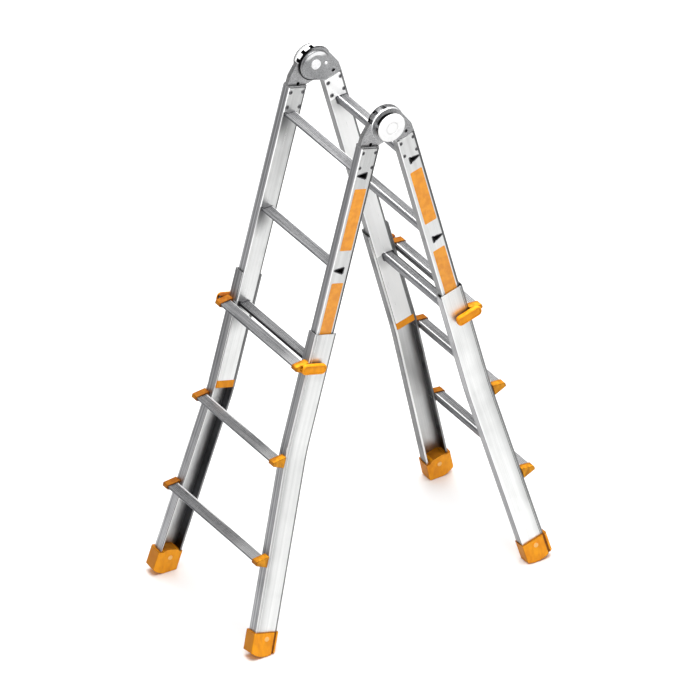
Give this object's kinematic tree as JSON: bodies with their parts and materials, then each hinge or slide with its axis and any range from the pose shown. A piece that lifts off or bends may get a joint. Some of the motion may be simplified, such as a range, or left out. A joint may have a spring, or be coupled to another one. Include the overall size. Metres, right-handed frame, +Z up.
{
  "type": "telescopic ladder",
  "caption": "Telescopic A-frame ladder: flared outer rails slide over box inner rails, with triangular rungs, notched top hinges, push knobs, lock levers and moulded feet.",
  "frame": {"origin": "on the floor, under the middle of the hinge axis", "axes": "+Z up; X along the hinge axis; the front half, which carries the notched hinge discs, leans towards -Y"},
  "size_m": [0.5286, 0.9464, 1.5293],
  "materials": {
    "rail_aluminium": "satin extruded",
    "rung_aluminium": "satin extruded, grooved tread",
    "hinge_aluminium": "cast, machined face",
    "hinge_steel": "zinc plated",
    "fastener_steel": "bright",
    "spring_steel": "drawn wire",
    "orange_plastic": "moulded, fine grain",
    "orange_rubber": "moulded",
    "knob_plastic": "moulded, polished",
    "label_film": "printed film"
  },
  "bodies": {
    "front_inner": {"front_inner_rail_left": "rail_aluminium", "front_inner_rail_right": "rail_aluminium", "front_inner_rung_1": "rung_aluminium", "front_inner_rung_2": "rung_aluminium", "front_inner_rung_3": "rung_aluminium", "front_inner_plugs": "orange_plastic", "hinge_disc_left": "hinge_aluminium", "hinge_disc_right": "hinge_aluminium", "front_hinge_rivets": "fastener_steel"},
    "rear_inner": {"rear_inner_rail_left": "rail_aluminium", "rear_inner_rail_right": "rail_aluminium", "rear_inner_rung_1": "rung_aluminium", "rear_inner_rung_2": "rung_aluminium", "rear_inner_rung_3": "rung_aluminium", "rear_inner_plugs": "orange_plastic", "hinge_inner_cheek_left": "hinge_steel", "hinge_inner_cheek_right": "hinge_steel", "hinge_outer_cheek_left": "hinge_steel", "hinge_outer_cheek_right": "hinge_steel", "hinge_spacers": "hinge_aluminium", "hinge_axles": "fastener_steel", "rear_hinge_rivets": "fastener_steel"},
    "front_outer": {"front_outer_rail_left": "rail_aluminium", "front_outer_rail_right": "rail_aluminium", "front_outer_rung_1": "rung_aluminium", "front_outer_rung_2": "rung_aluminium", "front_outer_rung_3": "rung_aluminium", "front_rung_caps": "orange_plastic", "front_lever_brackets": "orange_plastic", "front_foot_left": "orange_rubber", "front_foot_right": "orange_rubber", "front_outer_rivets": "fastener_steel", "front_lever_pivots": "fastener_steel", "front_lever_springs": "spring_steel"},
    "front_lever_left": {"front_lock_lever_left": "orange_plastic", "front_lock_pin_left": "fastener_steel"},
    "front_lever_right": {"front_lock_lever_right": "orange_plastic", "front_lock_pin_right": "fastener_steel"},
    "rear_outer": {"rear_outer_rail_left": "rail_aluminium", "rear_outer_rail_right": "rail_aluminium", "rear_outer_rung_1": "rung_aluminium", "rear_outer_rung_2": "rung_aluminium", "rear_outer_rung_3": "rung_aluminium", "rear_rung_caps": "orange_plastic", "rear_lever_brackets": "orange_plastic", "rear_foot_left": "orange_rubber", "rear_foot_right": "orange_rubber", "rear_outer_rivets": "fastener_steel", "rear_lever_pivots": "fastener_steel", "rear_lever_springs": "spring_steel"},
    "rear_lever_left": {"rear_lock_lever_left": "orange_plastic", "rear_lock_pin_left": "fastener_steel"},
    "rear_lever_right": {"rear_lock_lever_right": "orange_plastic", "rear_lock_pin_right": "fastener_steel"},
    "knob_left": {"hinge_knob_left": "knob_plastic", "lock_bolts_left": "fastener_steel", "knob_spring_left": "spring_steel"},
    "knob_right": {"hinge_knob_right": "knob_plastic", "lock_bolts_right": "fastener_steel", "knob_spring_right": "spring_steel"}
  },
  "joints": [
    {"name": "fold", "type": "hinge", "parent": "front_inner", "child": "rear_inner", "pos_m": [0, 0, 1.47829], "axis": [1, 0, 0], "range_deg": [-30, 150]},
    {"name": "front_extend", "type": "slide", "parent": "front_inner", "child": "front_outer", "axis": [0, 0.2588, 0.9659], "range_m": [0, 0.56]},
    {"name": "rear_extend", "type": "slide", "parent": "rear_inner", "child": "rear_outer", "axis": [0, -0.2588, 0.9659], "range_m": [0, 0.56]},
    {"name": "front_lever_left_turn", "type": "hinge", "parent": "front_outer", "child": "front_lever_left", "pos_m": [-0.207, -0.2712, 0.81778], "axis": [0, 0.2588, 0.9659], "range_deg": [0, 22], "stiffness_Nm_per_rad": 2, "springref_deg": -17.19},
    {"name": "front_lever_right_turn", "type": "hinge", "parent": "front_outer", "child": "front_lever_right", "pos_m": [0.207, -0.2712, 0.81778], "axis": [0, -0.2588, -0.9659], "range_deg": [0, 22], "stiffness_Nm_per_rad": 2, "springref_deg": -17.19},
    {"name": "rear_lever_left_turn", "type": "hinge", "parent": "rear_outer", "child": "rear_lever_left", "pos_m": [-0.207, 0.2712, 0.81778], "axis": [0, 0.2588, -0.9659], "range_deg": [0, 22], "stiffness_Nm_per_rad": 2, "springref_deg": -17.19},
    {"name": "rear_lever_right_turn", "type": "hinge", "parent": "rear_outer", "child": "rear_lever_right", "pos_m": [0.207, 0.2712, 0.81778], "axis": [0, -0.2588, 0.9659], "range_deg": [0, 22], "stiffness_Nm_per_rad": 2, "springref_deg": -17.19},
    {"name": "knob_left_push", "type": "slide", "parent": "rear_inner", "child": "knob_left", "axis": [1, 0, 0], "range_m": [0, 0.008], "stiffness_N_per_m": 2000, "springref_m": -0.006, "deforming": ["knob_spring_left"]},
    {"name": "knob_right_push", "type": "slide", "parent": "rear_inner", "child": "knob_right", "axis": [-1, 0, 0], "range_m": [0, 0.008], "stiffness_N_per_m": 2000, "springref_m": -0.006, "deforming": ["knob_spring_right"]}
  ]
}
